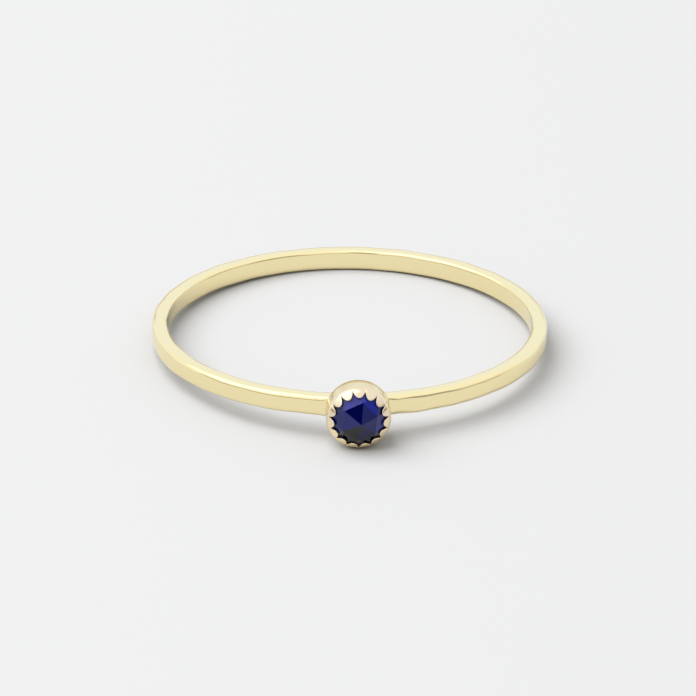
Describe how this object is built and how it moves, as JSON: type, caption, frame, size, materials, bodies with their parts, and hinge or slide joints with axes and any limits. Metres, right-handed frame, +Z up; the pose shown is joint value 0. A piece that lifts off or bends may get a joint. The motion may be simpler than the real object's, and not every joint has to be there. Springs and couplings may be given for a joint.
{
  "type": "stackable ring",
  "caption": "Slim yellow gold stacking ring with a small round blue rose-cut stone in a scalloped bezel, lying on its side.",
  "frame": {"origin": "on the surface that the ring lies on, under the middle of its box", "axes": "+Z up from the surface, -Y towards the stone, so +Y runs from the stone to the back of the band, +X to the right as seen from the stone's side"},
  "size_m": [0.0188, 0.0208, 0.0031],
  "materials": {
    "gold": "polished 14-carat yellow gold, lightly hand hammered",
    "blue_stone": "polished rose-cut blue sapphire, with flat facets"
  },
  "bodies": {
    "root": {"ring_metal": "gold", "stone": "blue_stone"}
  },
  "joints": []
}
